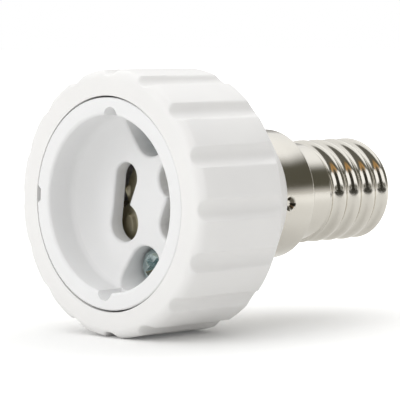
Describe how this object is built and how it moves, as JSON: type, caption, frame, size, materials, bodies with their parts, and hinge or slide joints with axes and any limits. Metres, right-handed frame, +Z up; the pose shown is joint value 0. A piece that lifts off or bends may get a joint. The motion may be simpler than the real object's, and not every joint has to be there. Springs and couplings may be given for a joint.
{
  "type": "lamp socket adapter",
  "caption": "Lamp socket adapter: a fluted white barrel holds a bevelled dish with keyhole pin slots, on a small plated screw cap that fits a lamp holder.",
  "frame": {"origin": "middle of the underside of the part's box, under the middle of its length", "axes": "+Y along the main axis from the socket face to the tip of the screw cap, +Z up, +X to the right of someone who looks into the socket"},
  "size_m": [0.0334, 0.0496, 0.0335],
  "materials": {
    "housing_plastic": "satin",
    "insert_plastic": "satin",
    "screw_zinc": "polished",
    "contact_brass": "satin",
    "cap_nickel": "polished",
    "insulator_black": "gloss",
    "eyelet_brass": "satin",
    "wire_copper": "satin",
    "live_sleeve_plastic": "satin",
    "neutral_sleeve_plastic": "satin",
    "solder": "satin"
  },
  "bodies": {
    "root": {"housing": "housing_plastic", "socket_insert": "insert_plastic", "insert_screws": "screw_zinc", "contact_left": "contact_brass", "contact_right": "contact_brass", "screw_shell": "cap_nickel", "cap_insulator": "insulator_black", "centre_contact": "eyelet_brass", "live_wire_core": "wire_copper", "live_wire_sleeve": "live_sleeve_plastic", "neutral_wire_core": "wire_copper", "neutral_wire_sleeve": "neutral_sleeve_plastic", "tip_solder": "solder", "shell_solder": "solder"}
  },
  "joints": []
}
